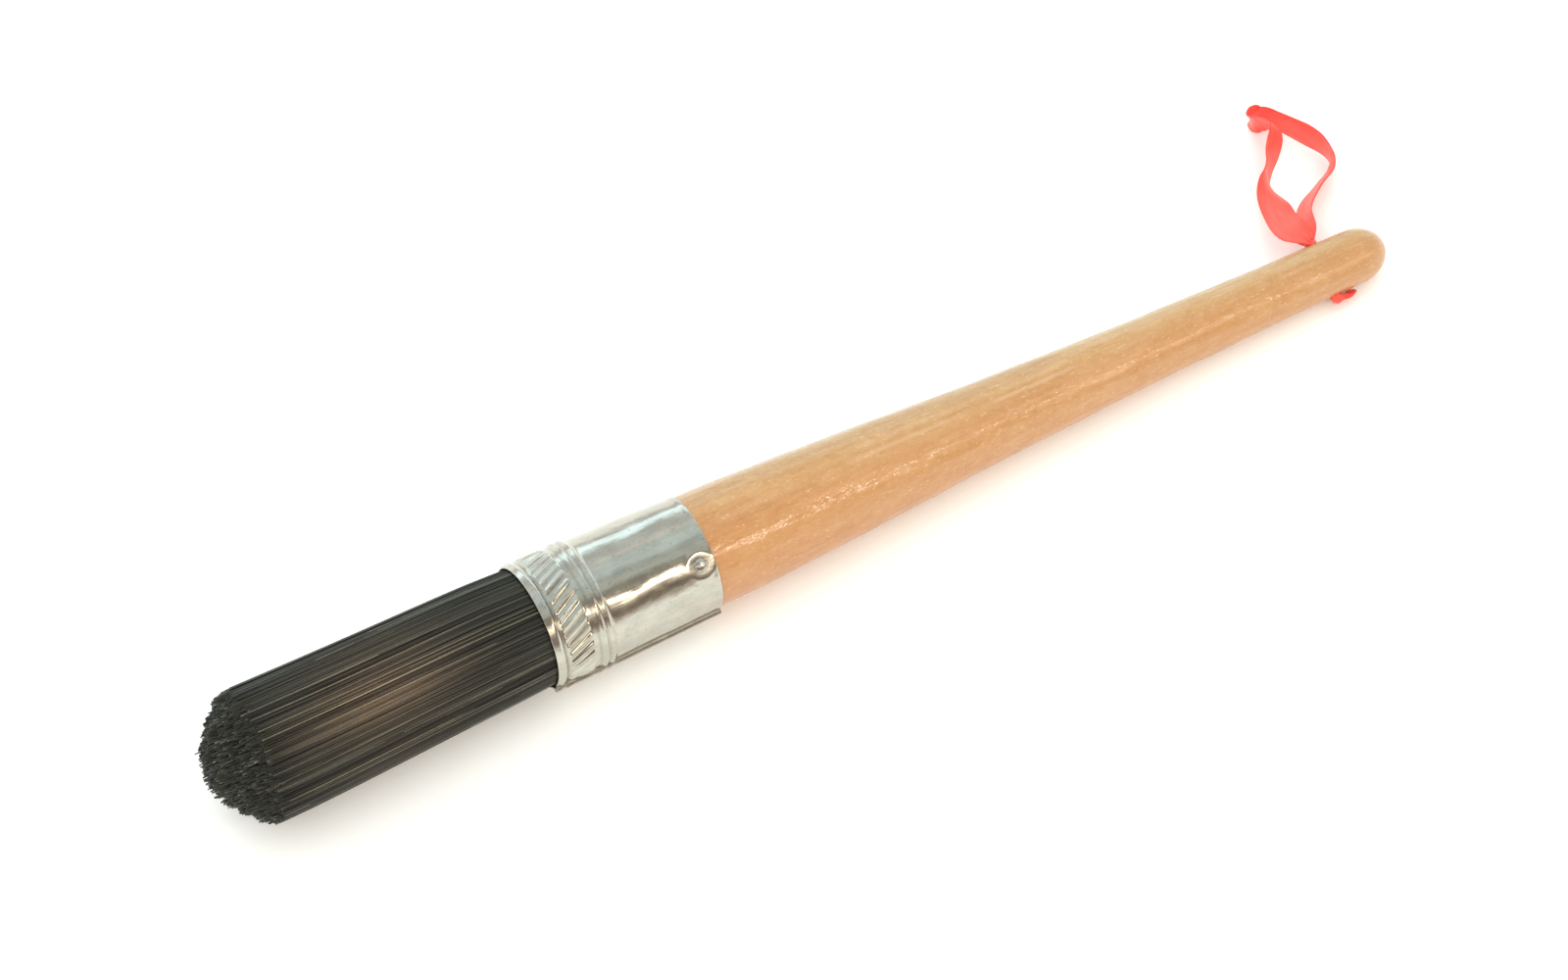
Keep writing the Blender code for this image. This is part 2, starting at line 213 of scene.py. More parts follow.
# ---- materials ----
class Mat:
    """One procedural material and the few calls it takes to wire it."""

    def __init__(self, name, axial=False):
        self.axial = axial
        self.m = bpy.data.materials.new(name)
        self.m.use_nodes = True
        self.t = self.m.node_tree
        self.t.nodes.clear()
        self.out = self.t.nodes.new("ShaderNodeOutputMaterial")
        self.p = self.t.nodes.new("ShaderNodeBsdfPrincipled")
        self.t.links.new(self.p.outputs["BSDF"], self.out.inputs["Surface"])

    def put(self, socket, value):
        if isinstance(value, bpy.types.NodeSocket):
            self.t.links.new(value, socket)
        else:
            socket.default_value = value

    def node(self, kind, inputs=None, **props):
        n = self.t.nodes.new("ShaderNode" + kind)
        for k, v in props.items():
            setattr(n, k, v)
        for k, v in (inputs or {}).items():
            self.put(n.inputs[k], v)
        return n

    def own(self):
        """Coordinates along and across the brush where the piece carries them, and the row frame's elsewhere."""
        if self.axial:
            return self.node("Attribute", attribute_name="own_xyz").outputs["Vector"]
        return self.node("TexCoord").outputs["Object"]

    def coords(self, scale=(1.0, 1.0, 1.0)):
        return self.node("Mapping", {"Vector": self.own(), "Scale": scale}).outputs["Vector"]

    def noise(self, vector, scale, detail=2.0, roughness=0.5, distortion=0.0):
        return self.node("TexNoise", {"Vector": vector, "Scale": scale, "Detail": detail, "Roughness": roughness, "Distortion": distortion}).outputs["Fac"]

    def math(self, op, a, b=0.0, c=0.0, clamp=False):
        n = self.node("Math", operation=op, use_clamp=clamp)
        for k, v in enumerate((a, b, c)):
            self.put(n.inputs[k], v)
        return n.outputs[0]

    def remap(self, value, lo, hi, to_lo=0.0, to_hi=1.0):
        return self.node("MapRange", {"Value": value, "From Min": lo, "From Max": hi, "To Min": to_lo, "To Max": to_hi}, interpolation_type="SMOOTHSTEP").outputs["Result"]

    def mix(self, fac, a, b, blend="MIX"):
        n = self.node("Mix", data_type="RGBA", blend_type=blend, clamp_factor=True)
        self.put(n.inputs[0], fac)
        for k, v in ((6, a), (7, b)):
            self.put(n.inputs[k], (*v, 1.0) if isinstance(v, tuple) and len(v) == 3 else v)
        return n.outputs[2]

    def ramp(self, fac, stops):
        n = self.node("ValToRGB", {"Fac": fac})
        e = n.color_ramp.elements
        while len(e) > 1:
            e.remove(e[-1])
        e[0].position, e[0].color = stops[0][0], (*stops[0][1], 1.0)
        for pos, col in stops[1:]:
            x = e.new(pos)
            x.color = (*col, 1.0)
        return n.outputs["Color"]

    def attr(self, name):
        return self.node("Attribute", attribute_name=name).outputs["Fac"]

    def bump(self, height, distance, strength=1.0, normal=None):
        ins = {"Height": height, "Distance": distance, "Strength": strength}
        if normal is not None:
            ins["Normal"] = normal
        return self.node("Bump", ins).outputs["Normal"]

    def set(self, **values):
        for k, v in values.items():
            self.put(self.p.inputs[k.replace("_", " ")], v)
        return self.m


def wood_material():
    w = Mat("lacquered_light_hardwood", True)
    fibre = w.noise(w.coords((22.0, 900.0, 900.0)), 1.0, 4.0, 0.6)
    broad = w.noise(w.coords((16.0, 110.0, 110.0)), 1.0, 3.0, 0.55, 0.5)
    mottle = w.noise(w.coords((260.0, 460.0, 460.0)), 1.0, 4.0, 0.65, 0.8)
    fine = w.noise(w.coords((90.0, 2600.0, 2600.0)), 1.0, 3.0, 0.65)
    fleck = w.noise(w.coords((420.0, 3600.0, 3600.0)), 1.0, 1.0, 0.5)
    speck = w.noise(w.coords((900.0, 2400.0, 2400.0)), 1.0, 2.0, 0.5)
    tone = w.math("ADD", w.math("MULTIPLY", broad, 0.30), w.math("MULTIPLY", fibre, 0.20))
    tone = w.math("ADD", tone, w.math("MULTIPLY", mottle, 0.36))
    tone = w.math("ADD", tone, w.math("MULTIPLY", fine, 0.14))
    colour = w.ramp(
        tone,
        [
            (0.34, srgb(178, 123, 71)),
            (0.44, srgb(187, 134, 83)),
            (0.51, srgb(193, 142, 92)),
            (0.59, srgb(198, 150, 102)),
            (0.70, srgb(204, 160, 115)),
        ],
    )
    dark = w.remap(fleck, 0.66, 0.78)
    colour = w.mix(w.math("MULTIPLY", dark, 0.36), colour, srgb(150, 98, 52))
    pale = w.remap(speck, 0.60, 0.72)
    colour = w.mix(w.math("MULTIPLY", pale, 0.34), colour, srgb(236, 204, 160))
    parts = w.node("SeparateXYZ", {"Vector": w.own()}).outputs
    turn = w.math("DIVIDE", w.math("ARCTAN2", parts["Z"], parts["Y"]), 2 * math.pi)
    turn = w.math("FRACT", w.math("ADD", turn, 1.0))  # share of a turn from the brush's +Y side
    # Painted reflection and shade: a tint by angle round the handle. It is greener and cooler on the upper far side for
    # the greenish-grey reflection and weaker light there, less blue low on the near side to offset the extra light
    # there, and a little duller underneath.
    painted_light_by_side = w.ramp(
        turn,
        [
            (0.00, (0.86, 0.98, 0.94)),
            (0.13, (0.86, 0.99, 0.96)),
            (0.18, (0.90, 1.00, 0.90)),
            (0.25, (0.95, 1.00, 0.92)),
            (0.32, (1.00, 0.99, 0.97)),
            (0.42, (1.00, 1.00, 1.00)),
            (0.50, (1.00, 0.93, 0.80)),
            (0.57, (0.99, 0.88, 0.68)),
            (0.80, (0.93, 0.92, 0.84)),
            (1.00, (0.86, 0.98, 0.94)),
        ],
    )
    colour = w.mix(1.0, colour, painted_light_by_side, "MULTIPLY")
    # Painted highlights: three soft pale streaks along the handle at fixed angles round it, broken up by noise.
    for at, half, strength in ((0.272, 0.016, 0.24), (0.232, 0.024, 0.20), (0.335, 0.012, 0.12)):
        off = w.math("ABSOLUTE", w.math("SUBTRACT", w.math("ADD", turn, w.math("MULTIPLY", w.math("SUBTRACT", broad, 0.5), 0.03)), at))
        streak = w.math("MULTIPLY", w.remap(off, half, 0.0), w.remap(w.noise(w.coords((38.0, 60.0, 60.0)), 1.0, 3.0, 0.6), 0.40, 0.62))
        colour = w.mix(w.math("MULTIPLY", streak, strength), colour, srgb(226, 196, 166))
    warm = w.remap(parts["X"], 0.075, -0.004)
    colour = w.mix(w.math("MULTIPLY", warm, 0.42), colour, w.mix(1.0, colour, (0.98, 0.85, 0.70), "MULTIPLY"))
    peel = w.noise(w.coords(), 520.0, 2.0, 0.5)
    ripple = w.noise(w.coords((60.0, 300.0, 300.0)), 1.0, 2.0, 0.5)
    grit = w.noise(w.coords(), 2600.0, 2.0, 0.6)
    under = w.bump(fine, 0.00004, 0.5)
    coat = w.bump(peel, 0.00022, 0.8)
    coat = w.bump(ripple, 0.0006, 0.7, coat)
    coat = w.bump(grit, 0.00003, 0.7, coat)
    return w.set(
        Base_Color=colour,
        Roughness=w.remap(fibre, 0.3, 0.7, 0.50, 0.38),
        Specular_IOR_Level=0.45,
        Normal=under,
        Coat_Weight=0.75,
        Coat_Roughness=0.13,
        Coat_IOR=1.5,
        Coat_Normal=coat,
    )


def tin_material():
    t = Mat("bright_tinplate", True)
    blotch = t.noise(t.coords((180.0, 300.0, 300.0)), 1.0, 3.0, 0.55, 0.3)
    drawn = t.noise(t.coords((50.0, 1100.0, 1100.0)), 1.0, 3.0, 0.6)
    colour = t.mix(t.remap(blotch, 0.35, 0.68), srgb(188, 184, 173), srgb(199, 196, 185))
    colour = t.mix(t.remap(drawn, 0.35, 0.65), t.mix(1.0, colour, (0.93, 0.93, 0.93), "MULTIPLY"), colour)
    spot = t.remap(t.noise(t.coords(), 620.0, 2.0, 0.55), 0.70, 0.78)
    near_bead = t.node("SeparateXYZ", {"Vector": t.own()}).outputs["X"]
    zone = t.math("MULTIPLY", t.remap(near_bead, -0.0385, -0.034), t.remap(near_bead, -0.026, -0.029))
    rust = t.math("MULTIPLY", spot, t.math("ADD", t.math("MULTIPLY", zone, 0.75), 0.10))
    colour = t.mix(rust, colour, srgb(112, 80, 50))
    fleck = t.remap(t.noise(t.coords(), 1500.0, 2.0, 0.5), 0.60, 0.70)
    colour = t.mix(t.math("MULTIPLY", fleck, 0.30), colour, srgb(126, 116, 100))
    # Darker, rougher colour along the seam fold and its groove, in the groove behind the rim and by the second bead's
    # ridges.
    seam_and_groove_darkening = t.math("MULTIPLY", t.attr("seam_and_groove_darkening"), t.remap(t.noise(t.coords((300.0, 700.0, 700.0)), 1.0, 3.0, 0.6), 0.25, 0.5, 0.75, 1.0), clamp=True)
    colour = t.mix(seam_and_groove_darkening, colour, srgb(58, 49, 38))
    rough = t.remap(blotch, 0.30, 0.72, 0.11, 0.17)
    rough = t.math("ADD", rough, t.math("MULTIPLY", rust, 0.35), clamp=True)
    rough = t.math("ADD", rough, t.math("MULTIPLY", seam_and_groove_darkening, 0.45), clamp=True)
    wave = t.noise(t.coords((110.0, 170.0, 170.0)), 1.0, 2.0, 0.5)
    peel = t.noise(t.coords(), 900.0, 3.0, 0.6)
    n = t.bump(wave, 0.0009, 0.22)
    n = t.bump(peel, 0.00006, 0.28, n)
    n = t.bump(drawn, 0.00003, 0.6, n)
    return t.set(Base_Color=colour, Metallic=1.0, Roughness=rough, Normal=n)


def nail_material():
    t = Mat("plated_nail_steel", True)
    blotch = t.noise(t.coords(), 900.0, 3.0, 0.6)
    colour = t.mix(t.remap(blotch, 0.35, 0.7), srgb(158, 154, 146), srgb(200, 198, 192))
    n = t.bump(t.noise(t.coords(), 1600.0, 2.0, 0.5), 0.00006, 0.6)
    return t.set(Base_Color=colour, Metallic=1.0, Roughness=t.remap(blotch, 0.3, 0.7, 0.18, 0.34), Normal=n)


def resin_material():
    t = Mat("set_amber_resin")
    cloud = t.noise(t.coords(), 260.0, 4.0, 0.6, 0.6)
    colour = t.mix(cloud, srgb(120, 78, 34), srgb(190, 142, 78))
    n = t.bump(t.noise(t.coords(), 500.0, 3.0, 0.6), 0.0002, 0.5)
    return t.set(Base_Color=colour, Roughness=t.remap(cloud, 0.3, 0.7, 0.2, 0.45), Normal=n)


def bristle_material(name, cut=False):
    b = Mat(name)
    tone = b.attr("tone")
    warm = b.attr("warm")
    streak = b.noise(b.coords(), 1500.0, 2.0, 0.5)
    tone = b.math("ADD", tone, b.math("MULTIPLY", b.math("SUBTRACT", streak, 0.5), 0.22), clamp=True)
    colour = b.ramp(
        tone,
        [
            (0.00, srgb(27, 27, 22)),
            (0.35, srgb(40, 41, 34)),
            (0.65, srgb(57, 57, 48)),
            (0.85, srgb(78, 77, 63)),
            (1.00, srgb(116, 112, 94)),
        ],
    )
    # Painted sheen: where the warm attribute is set, a lighter brown stands in for a warm highlight along the
    # filaments.
    painted_sheen_brown = b.ramp(tone, [(0.0, srgb(72, 58, 44)), (0.4, srgb(116, 96, 77)), (1.0, srgb(176, 153, 127))])
    colour = b.mix(warm, colour, painted_sheen_brown)
    # Painted highlight: the cut ends are mixed towards a pale grey-green so the trimmed tip shows lit flecks.
    if cut:
        colour = b.mix(0.40, colour, srgb(104, 110, 94))
    n = b.bump(b.noise(b.coords(), 5200.0, 1.0, 0.5), 0.00001, 0.5)
    return b.set(Base_Color=colour, Roughness=b.remap(tone, 0.0, 1.0, 0.46, 0.34), Specular_IOR_Level=0.5, Normal=n)


def core_material():
    # Painted shade: the solid pack under the outer filaments is a darker, duller charcoal than the filaments, standing
    # for the shade deep among them.
    b = Mat("bristle_depth_shade")
    streak = b.noise(b.coords((60.0, 2200.0, 2200.0)), 1.0, 3.0, 0.6)
    colour = b.mix(streak, srgb(14, 14, 11), srgb(40, 39, 32))
    n = b.bump(streak, 0.0003, 0.8)
    return b.set(Base_Color=colour, Roughness=0.8, Specular_IOR_Level=0.2, Normal=n)


def ribbon_material():
    r = Mat("coral_satin_weave")
    across = r.attr("across")  # mm from the middle of the ribbon
    along = r.attr("along")  # mm from its start
    warp = r.math("SINE", r.math("MULTIPLY", across, 2 * math.pi / 0.24))
    weft = r.math("SINE", r.math("MULTIPLY", along, 2 * math.pi / 0.34))
    slub = r.node("CombineXYZ", {"X": r.math("MULTIPLY", along, 0.10), "Y": r.math("MULTIPLY", across, 2.4), "Z": 0.0}).outputs["Vector"]
    slub = r.noise(slub, 1.0, 3.0, 0.6)
    edge = r.remap(r.math("ABSOLUTE", across), 2.95, 3.2)
    tone = r.math("ADD", r.math("MULTIPLY", slub, 0.8), r.math("MULTIPLY", warp, 0.06))
    colour = r.mix(r.remap(tone, 0.2, 0.65), srgb(249, 78, 65), srgb(254, 99, 85))
    colour = r.mix(r.math("MULTIPLY", edge, 0.5), colour, srgb(238, 66, 57))
    height = r.math("ADD", r.math("MULTIPLY", warp, 0.6), r.math("MULTIPLY", weft, 0.25))
    n = r.bump(height, 0.00002, 0.6)
    n = r.bump(slub, 0.00010, 0.5, n)
    return r.set(
        Base_Color=colour,
        Roughness=r.remap(slub, 0.3, 0.7, 0.44, 0.36),
        Specular_IOR_Level=0.45,
        Sheen_Weight=0.25,
        Sheen_Roughness=0.4,
        Sheen_Tint=(1.0, 0.72, 0.66, 1.0),
        Normal=n,
    )


WOOD, TIN, NAIL, RESIN = wood_material(), tin_material(), nail_material(), resin_material()
BRISTLE, BRISTLE_CUT, CORE = bristle_material("charcoal_filament"), bristle_material("charcoal_filament_cut", True), core_material()
SATIN = ribbon_material()

# ---- camera ----
AZ, EL = math.radians(-29.586), math.radians(56.739)
back = Vector((math.sin(AZ) * math.cos(EL), -math.cos(AZ) * math.cos(EL), math.sin(EL)))
right = Vector((math.cos(AZ), math.sin(AZ), 0.0))
above = back.cross(right)
camera = bpy.data.objects.new("camera", bpy.data.cameras.new("camera"))
camera.data.sensor_width = 36.0
camera.data.lens = 135.0
camera.data.clip_start, camera.data.clip_end = 0.05, 20.0
camera.matrix_world = Matrix.Translation((-0.35445, -0.61198, 1.09458)) @ Matrix((right, above, back)).transposed().to_4x4()
bpy.context.scene.collection.objects.link(camera)
bpy.context.scene.camera = camera

# ---- ribbon: one satin band out of the cross hole, round its loop and back ----
RIBBON_HALF, RIBBON_THICK = 3.5, 0.30
route = catmull(LOOP_ROUTE, 7)
centre = route[:, :3]
tilt = np.radians(route[:, 3])
share = np.clip(route[:, 4], 0.34, 1.0)
tangent = np.gradient(centre, axis=0)
tangent /= np.linalg.norm(tangent, axis=1)[:, None]
level = np.array((0.0, 0.0, 1.0)) - tangent * tangent[:, 2:3]
level /= np.linalg.norm(level, axis=1)[:, None]
wide = np.cos(tilt)[:, None] * level + np.sin(tilt)[:, None] * np.cross(tangent, level)
thick = np.cross(tangent, wide)
run = np.concatenate([[0.0], np.cumsum(np.linalg.norm(np.diff(centre, axis=0), axis=1))])
RIBBON_LENGTH = float(run[-1]) * MM

ACROSS = 37
v = np.linspace(-1.0, 1.0, ACROSS)
pinch = smoothstep((1.0 - share) / 0.66)[:, None]
flute = 0.10 * np.sin(run / 5.3 + 0.6)[:, None] * np.cos(math.pi * v)[None, :] + 0.06 * np.sin(run / 2.1)[:, None] * v[None, :] * np.abs(v)[None, :]
cup = 0.16 * (v**2)[None, :] * np.sin(run / 17.0 + 0.4)[:, None]
pleat = pinch * 0.30 * np.cos(2.5 * math.pi * v + 0.4)[None, :]
lift = flute * (1 - pinch) + cup * (1 - pinch) + pleat
half_thick = 0.5 * RIBBON_THICK * (1.0 + 0.35 * smoothstep((np.abs(v) - 0.86) / 0.06) * (1 - smoothstep((np.abs(v) - 0.965) / 0.035)))[None, :]
half_thick = np.broadcast_to(half_thick, lift.shape) * np.where(np.abs(v) > 0.995, 0.55, 1.0)[None, :]
lateral = RIBBON_HALF * share[:, None] * v[None, :]
face_a = centre[:, None, :] + wide[:, None, :] * lateral[..., None] + thick[:, None, :] * (lift + half_thick)[..., None]
face_b = centre[:, None, :] + wide[:, None, :] * lateral[..., None] + thick[:, None, :] * (lift - half_thick)[..., None]
ring = np.concatenate([face_a, face_b[:, ::-1, :]], axis=1)
rows, cols = ring.shape[:2]
faces = [tuple(f) for f in ring_grid(rows, cols)]
faces += [tuple(range(cols - 1, -1, -1)), tuple(range((rows - 1) * cols, rows * cols))]
ribbon = mesh_object("satin_ribbon_loop", ring.reshape(-1, 3) * MM, faces, [SATIN])
attribute(ribbon, "across", np.tile(np.concatenate([v, v[::-1]]) * RIBBON_HALF, rows))
attribute(ribbon, "along", np.repeat(run, cols))


def swept(name, path, widths, heights, outs, sides, mats, folds=4, fold_depth=0.22, phase=0.0, closed=False):
    """A bunched ribbon: a fluted oval swept along a path. outs are the directions of its flatter side."""
    path = np.asarray(path, float)
    t = (np.roll(path, -1, 0) - np.roll(path, 1, 0)) if closed else np.gradient(path, axis=0)
    t /= np.linalg.norm(t, axis=1)[:, None]
    o = outs - t * np.sum(outs * t, axis=1)[:, None]
    o /= np.linalg.norm(o, axis=1)[:, None]
    w = np.cross(t, o)
    a = np.linspace(0, 2 * math.pi, sides, endpoint=False)
    length = np.concatenate([[0.0], np.cumsum(np.linalg.norm(np.diff(path, axis=0), axis=1))])
    flutes = 1.0 - fold_depth * (0.5 + 0.5 * np.cos(folds * a[None, :] + phase + 0.5 * length[:, None]))
    pts = path[:, None, :] + w[:, None, :] * (np.cos(a)[None, :] * flutes * widths[:, None])[..., None] + o[:, None, :] * (np.sin(a)[None, :] * flutes * heights[:, None])[..., None]
    n = len(path)
    faces = [tuple(f) for f in ring_grid(n, sides, closed)]
    if not closed:
        faces += [tuple(range(sides - 1, -1, -1)), tuple(range((n - 1) * sides, n * sides))]
    o_ = mesh_object(name, pts.reshape(-1, 3) * MM, faces, mats)
    attribute(o_, "across", np.tile(2.6 * np.sin(a * 1.0), n))
    attribute(o_, "along", np.repeat(length, sides))
    return o_


# the plies folded through the hole, showing at both mouths, then the knot that keeps them there
hole_axis = out_dir(HOLE_PHI)
depth = np.linspace(-8.1, 7.2, 40)
plies = ORIGIN + HOLE_S * ALONG + depth[:, None] * hole_axis
drift = smoothstep((-depth - 6.0) / 2.1)
plies = plies + drift[:, None] * (0.9 * ALONG)
mouth = 1.0 - 0.25 * smoothstep((np.abs(depth) - 6.9) / 1.2)
shank = swept("ribbon_plies_in_hole", plies, 1.52 * mouth, 1.52 * mouth, np.tile(ALONG, (len(depth), 1)), 40, [SATIN], folds=5, fold_depth=0.30)

u = np.linspace(0, 2 * math.pi, 150, endpoint=False)
kx = (np.sin(u) + 2 * np.sin(2 * u)) / 3.0
ky = (np.cos(u) - 2 * np.cos(2 * u)) / 3.0
kz = -np.sin(3 * u)
k_out = out_dir(KNOT_PHI)
k_round = np.cross(k_out, ALONG)
knot_centre = ORIGIN + KNOT_S * ALONG + (KNOT_CENTRE_R + 0.05) * k_out
k_path = knot_centre + (2.55 * kx)[:, None] * ALONG + (1.18 * ky)[:, None] * k_round + (0.42 * kz)[:, None] * k_out
k_path = k_path - (0.10 * (1.18 * ky) ** 2)[:, None] * k_out
knot = swept(
    "ribbon_knot_folds",
    k_path,
    np.full(len(u), 0.92) * (1 + 0.10 * np.sin(3 * u)),
    np.full(len(u), 0.46),
    np.tile(k_out, (len(u), 1)),
    28,
    [SATIN],
    folds=6,
    fold_depth=0.34,
    closed=True,
)

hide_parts("ribbon_loop")
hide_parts("ribbon_shank")
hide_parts("ribbon_knot")
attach(ribbon, "hanging_loop")
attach(shank, "brush")
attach(knot, "brush")

# ---- handle: a turned, lacquered taper with the cross hole through it ----
cap = S_BUTT - BUTT_ROUND_S
ellipse_a = cap / math.sqrt(1 - (BUTT_FLAT_R / BUTT_R) ** 2)
angles = np.linspace(math.asin(cap / ellipse_a), 0.0, 26)[:-1]
profile = [(0.9, S_BUTT), (1.9, S_BUTT), (2.35, S_BUTT - 0.03)]
profile += [(BUTT_R * math.cos(a), BUTT_ROUND_S + ellipse_a * math.sin(a) - (0.12 if i == 0 else 0.0)) for i, a in enumerate(angles)]
taper = catmull(HANDLE_STATIONS + ((0.0, HANDLE_NECK_R),), 18)
profile += [(float(r), float(s)) for s, r in taper]
profile += [(TENON_R, -0.05), (TENON_R, -8.0), (TENON_R, TENON_S + 1.2), (TENON_R - 0.9, TENON_S), (3.0, TENON_S)]
profile = np.array(profile)
cols = 144
phi = np.arange(cols) * 2 * math.pi / cols
r = profile[:, 0][:, None] * np.ones(cols)[None, :]
s = profile[:, 1][:, None] * np.ones(cols)[None, :]
on_grip = smoothstep((s - 2.0) / 10.0) * smoothstep((176.0 - s) / 8.0)
r = r + on_grip * (0.035 * np.sin(s / 7.0 + 2 * phi[None, :]) + 0.025 * np.sin(s / 3.1 - 3 * phi[None, :] + 1.0))
pts = np.stack([s, r * np.cos(phi), r * np.sin(phi)], -1).reshape(-1, 3)
faces = [tuple(f) for f in ring_grid(len(profile), cols)]
faces += [tuple(range(cols - 1, -1, -1)), tuple(range((len(profile) - 1) * cols, len(profile) * cols))]
handle = mesh_object("turned_handle", pts * MM, faces, [WOOD])
handle.matrix_world = AXIS_FRAME
bm = bmesh.new()
bm.from_mesh(handle.data)
bmesh.ops.recalc_face_normals(bm, faces=bm.faces)
bm.to_mesh(handle.data)
bm.free()
drill_path = np.array([[0.0, 0.0, z] for z in np.linspace(-12.0, 12.0, 3)])
a = np.linspace(0, 2 * math.pi, 48, endpoint=False)
d_pts = np.array([[HOLE_R * math.cos(t), HOLE_R * math.sin(t), z] for z in (-12.0, 12.0) for t in a])
d_faces = [tuple(f) for f in ring_grid(2, 48)] + [tuple(range(47, -1, -1)), tuple(range(48, 96))]
drill = mesh_object("drill", d_pts * MM, d_faces, [WOOD], smooth=False)
hp = math.radians(HOLE_PHI)
dz = Vector((0.0, math.cos(hp), math.sin(hp)))
dx = Vector((1.0, 0.0, 0.0))
drill.matrix_world = AXIS_FRAME @ Matrix.Translation((HOLE_S * MM, 0.0, 0.0)) @ Matrix((dx, dz.cross(dx), dz)).transposed().to_4x4()
bm = bmesh.new()
bm.from_mesh(drill.data)
bmesh.ops.recalc_face_normals(bm, faces=bm.faces)
bm.to_mesh(drill.data)
bm.free()
bore = handle.modifiers.new("bore", "BOOLEAN")
bore.object, bore.operation, bore.solver = drill, "DIFFERENCE", "EXACT"
bpy.context.view_layer.update()
bored = bpy.data.meshes.new_from_object(handle.evaluated_get(bpy.context.evaluated_depsgraph_get()))
handle.modifiers.clear()
old = handle.data
handle.data = bored
bpy.data.meshes.remove(old)
bpy.data.objects.remove(drill)
handle.data.name = "turned_handle"
handle.data.set_sharp_from_angle(angle=math.radians(40))
settle(handle)
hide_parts("handle")
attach(handle, "brush")


# ---- ferrule: one drawn sheet with beads, a raised hatch, a folded seam and nail dishes ----
def gap_angle(a, b):
    """Signed difference of two angles in degrees, -180 to 180."""
    return (a - b + 180.0) % 360.0 - 180.0


def ferrule_outer(s, phi):
    """Outer radius at station s (mm) and phi (degrees)."""
    base = np.interp(s, [-41.0, -30.0, -25.7, -12.0, 0.0], [FERRULE_BAND_R, FERRULE_BAND_R, FERRULE_MID_R, (FERRULE_REAR_R + FERRULE_MID_R) / 2, FERRULE_REAR_R])
    r = base.copy()
    body = smoothstep((s + 26.0) / 4.0)
    a = np.radians(phi)
    r += body * (0.040 * np.sin(2 * a + s / 6.5) + 0.030 * np.sin(5 * a - s / 4.2 + 1.3) + 0.018 * np.sin(9 * a + s / 2.6))
    r += 0.10 * np.exp(-(((s + 0.5) / 0.5) ** 2))  # the rear edge stands a little proud of the wood
    for centre_s, height, half in ((-29.15, 0.56, 0.74), (-27.40, 0.55, 0.74)):  # the second bead is a double ridge
        r += height * np.exp(-(((s - centre_s) / half) ** 2) * 1.3)
    rim = 0.46 * np.exp(-(((s + 39.75) / 0.95) ** 2) * 1.2)
    r += rim
    r -= 0.28 * np.exp(-(((s + 38.45) / 0.30) ** 2))
    # raised diagonal hatch
    inside = smoothstep((s + 38.0) / 0.6) * smoothstep((-31.6 - s) / 0.6)
    lead = phi + 12.5 * (s + 38.25) / 6.5
    ribs = 40
    offset = gap_angle(lead * ribs, 0.0) / ribs  # degrees from the nearest rib
    across = offset * math.pi / 180 * FERRULE_BAND_R * 0.9
    r += inside * (0.42 * np.exp(-((across / 0.58) ** 2)) - 0.10)
    r += 0.03 * np.exp(-(((s + 31.2) / 0.30) ** 2))
    # folded seam
    d = gap_angle(phi, SEAM_LOOK) * math.pi / 180 * 14.2
    top = np.interp(s, [-41.0, -28.0, 0.0], [15.46, 15.24, 14.50])
    flank = smoothstep((d + 1.22) / 0.36) * smoothstep((1.22 - d) / 0.36)
    crown = top - 0.10 * (d / 1.2) ** 2
    r = np.where(flank > 0, np.maximum(r, r + (crown - r) * flank), r)
    r -= 0.42 * np.exp(-(((d + 1.46) / 0.22) ** 2)) * (np.abs(d) < 2.4)
    # dishes punched round the nails
    for p in (PIN_PHI, PIN_PHI + 180.0):
        dn = np.hypot((s - PIN_S), gap_angle(phi, p) * math.pi / 180 * 13.6)
        r -= 0.36 * (0.5 + 0.5 * np.cos(np.pi * np.clip(dn / 3.1, 0, 1))) * (dn < 3.1)
        r += 0.07 * np.exp(-(((dn - 3.2) / 0.6) ** 2))
    return r


fine = 0.16
stations = np.concatenate([np.linspace(0.0, -1.2, 7), np.linspace(-1.5, -7.2, 24), np.linspace(-7.7, -25.2, 36), np.arange(-25.5, -40.45, -fine), [-40.5, -40.62]])
cols = 480
phi = np.arange(cols) * 360.0 / cols
S, P = np.meshgrid(stations, phi, indexing="ij")
R = ferrule_outer(S, P)
lip_in = []
r_front = R[-1]
for k in range(1, 7):  # the lip rolls over and back inside
    t = math.radians(90 * k / 6)
    lip_in.append((np.full(cols, -40.62 - 0.38 * math.sin(t)), r_front - 0.30 * (1 - math.cos(t))))
for k, (ss, rr) in enumerate(((-40.98, 0.42), (-40.8, 0.50), (-40.2, 0.52))):
    lip_in.append((np.full(cols, ss), np.minimum(r_front - rr, 13.95)))
S2 = np.vstack([S] + [x[0][None, :] for x in lip_in])
R2 = np.vstack([R] + [x[1][None, :] for x in lip_in])
inner = np.array([-39.0, -36.0, -32.0, -26.0, -20.0, -12.0, -5.0, -1.0, 0.0])
inner_r = np.interp(inner, [-41.0, -30.0, -25.7, -12.0, 0.0], [13.75, 13.75, 13.65, 13.30, 12.98 - 0.0])
inner_r = np.maximum(inner_r, 12.99)
S2 = np.vstack([S2] + [np.full((1, cols), x) for x in inner])
R2 = np.vstack([R2] + [np.full((1, cols), x) for x in inner_r])
P2 = np.broadcast_to(phi, S2.shape)
a = np.radians(P2)
pts = np.stack([S2, R2 * np.cos(a), R2 * np.sin(a)], -1).reshape(-1, 3)
ferrule = mesh_object("tinplate_ferrule", pts * MM, ring_grid(len(S2), cols, True), [TIN])
seam_off = gap_angle(P2, SEAM_LOOK) * math.pi / 180 * 14.2
